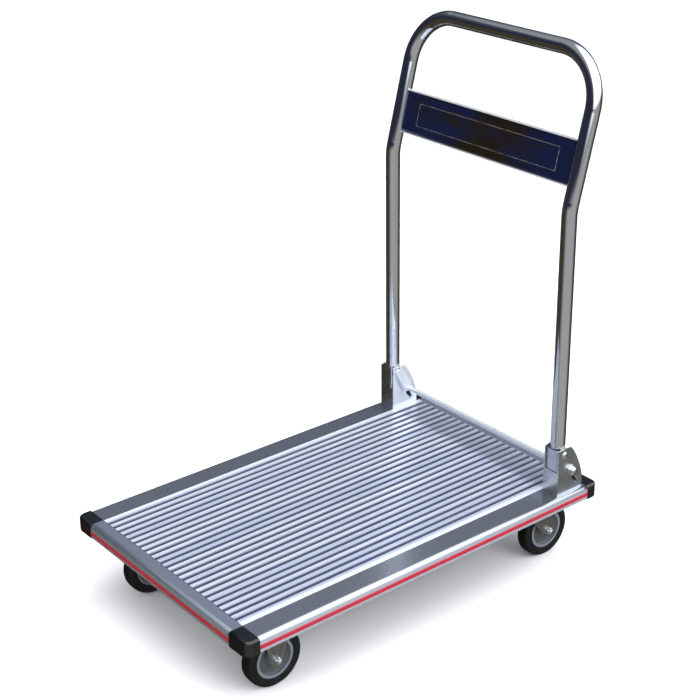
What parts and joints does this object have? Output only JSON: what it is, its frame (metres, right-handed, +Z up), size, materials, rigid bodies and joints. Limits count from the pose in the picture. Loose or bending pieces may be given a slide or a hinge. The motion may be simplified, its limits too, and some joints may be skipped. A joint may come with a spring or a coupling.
{
  "type": "folding platform cart",
  "caption": "Aluminium platform hand truck with a ribbed deck, swivel and rigid casters, and a chrome tube handle that folds flat over the deck with a foot-pressed release bar.",
  "frame": {"origin": "on the floor, under the middle of the deck", "axes": "+X across the deck to the right, +Y along the deck towards the handle, +Z up"},
  "size_m": [0.48, 0.74, 0.8934],
  "materials": {
    "ribbed_plank": "anodised ribs with fine drawn lines along the plank",
    "edge_rail": "satin anodised extrusion",
    "bumper_strip": "red insert",
    "corner_cap": "black moulded",
    "galvanised_tray": "galvanised sheet",
    "plated_fastener": "bright zinc plate",
    "spring_wire": "oiled spring wire",
    "zinc_bracket": "clear zinc plate on pressed steel",
    "zinc_fork": "clear zinc plate on pressed steel",
    "ground_steel": "ground steel",
    "chrome_tube": "bright chrome plate",
    "chrome_rod": "bright chrome plate",
    "dark_panel": "dark blue-black gloss sheet",
    "tyre": "black rubber",
    "wheel_hub": "grey moulded"
  },
  "bodies": {
    "deck": {"bracket_bolts": "plated_fastener", "caster_bolts": "plated_fastener", "caster_nuts": "plated_fastener", "corner_cap_front_left": "corner_cap", "corner_cap_front_right": "corner_cap", "corner_cap_rear_left": "corner_cap", "corner_cap_rear_right": "corner_cap", "cross_member_front": "galvanised_tray", "cross_member_rear": "galvanised_tray", "cross_member_rivets": "plated_fastener", "deck_plank_1": "ribbed_plank", "deck_plank_2": "ribbed_plank", "deck_plank_3": "ribbed_plank", "deck_plank_4": "ribbed_plank", "end_rail_front": "edge_rail", "end_rail_rear": "edge_rail", "end_rail_screws": "plated_fastener", "end_strip_front": "bumper_strip", "end_strip_rear": "bumper_strip", "front_axle_bolts": "plated_fastener", "front_axle_sleeves": "ground_steel", "front_fork_left": "zinc_fork", "front_fork_right": "zinc_fork", "hinge_bracket_left": "zinc_bracket", "hinge_bracket_right": "zinc_bracket", "kingpin_left": "plated_fastener", "kingpin_right": "plated_fastener", "lock_springs": "spring_wire", "pivot_pins": "plated_fastener", "rear_caster_plate_left": "zinc_fork", "rear_caster_plate_right": "zinc_fork", "side_rail_left": "edge_rail", "side_rail_right": "edge_rail", "side_rail_rivets": "plated_fastener", "side_strip_left": "bumper_strip", "side_strip_right": "bumper_strip", "spring_cover_left": "zinc_bracket", "spring_cover_right": "zinc_bracket", "swivel_balls_left": "ground_steel", "swivel_balls_right": "ground_steel"},
    "handle": {"handle_tube": "chrome_tube", "handle_panel": "dark_panel", "handle_socket_left": "zinc_bracket", "handle_socket_right": "zinc_bracket"},
    "lock_bar": {"lock_bar": "chrome_rod", "lock_bar_nuts": "plated_fastener"},
    "swivel_left": {"rear_fork_left": "zinc_fork", "rear_axle_bolt_left": "plated_fastener", "rear_axle_sleeve_left": "ground_steel"},
    "swivel_right": {"rear_fork_right": "zinc_fork", "rear_axle_bolt_right": "plated_fastener", "rear_axle_sleeve_right": "ground_steel"},
    "front_wheel_left": {"front_wheel_hub_left": "wheel_hub", "front_tyre_left": "tyre"},
    "front_wheel_right": {"front_wheel_hub_right": "wheel_hub", "front_tyre_right": "tyre"},
    "rear_wheel_left": {"rear_wheel_hub_left": "wheel_hub", "rear_tyre_left": "tyre"},
    "rear_wheel_right": {"rear_wheel_hub_right": "wheel_hub", "rear_tyre_right": "tyre"}
  },
  "joints": [
    {"name": "handle_fold", "type": "hinge", "parent": "deck", "child": "handle", "pos_m": [0, 0.2943, 0.221], "axis": [1, 0, 0], "range_deg": [0, 90]},
    {"name": "lock_bar_press", "type": "slide", "parent": "deck", "child": "lock_bar", "axis": [0, 0.4472, -0.8944], "range_m": [0, 0.024], "stiffness_N_per_m": 500, "springref_m": -0.02, "deforming": ["lock_springs"]},
    {"name": "swivel_left_turn", "type": "hinge", "parent": "deck", "child": "swivel_left", "pos_m": [-0.169, 0.276, 0.1], "axis": [0, 0, 1], "continuous": true},
    {"name": "swivel_right_turn", "type": "hinge", "parent": "deck", "child": "swivel_right", "pos_m": [0.169, 0.276, 0.1], "axis": [0, 0, 1], "continuous": true},
    {"name": "front_wheel_left_spin", "type": "hinge", "parent": "deck", "child": "front_wheel_left", "pos_m": [-0.169, -0.276, 0.05], "axis": [1, 0, 0], "continuous": true},
    {"name": "front_wheel_right_spin", "type": "hinge", "parent": "deck", "child": "front_wheel_right", "pos_m": [0.169, -0.276, 0.05], "axis": [1, 0, 0], "continuous": true},
    {"name": "rear_wheel_left_spin", "type": "hinge", "parent": "swivel_left", "child": "rear_wheel_left", "pos_m": [-0.169, 0.31, 0.05], "axis": [1, 0, 0], "continuous": true},
    {"name": "rear_wheel_right_spin", "type": "hinge", "parent": "swivel_right", "child": "rear_wheel_right", "pos_m": [0.169, 0.31, 0.05], "axis": [1, 0, 0], "continuous": true}
  ]
}
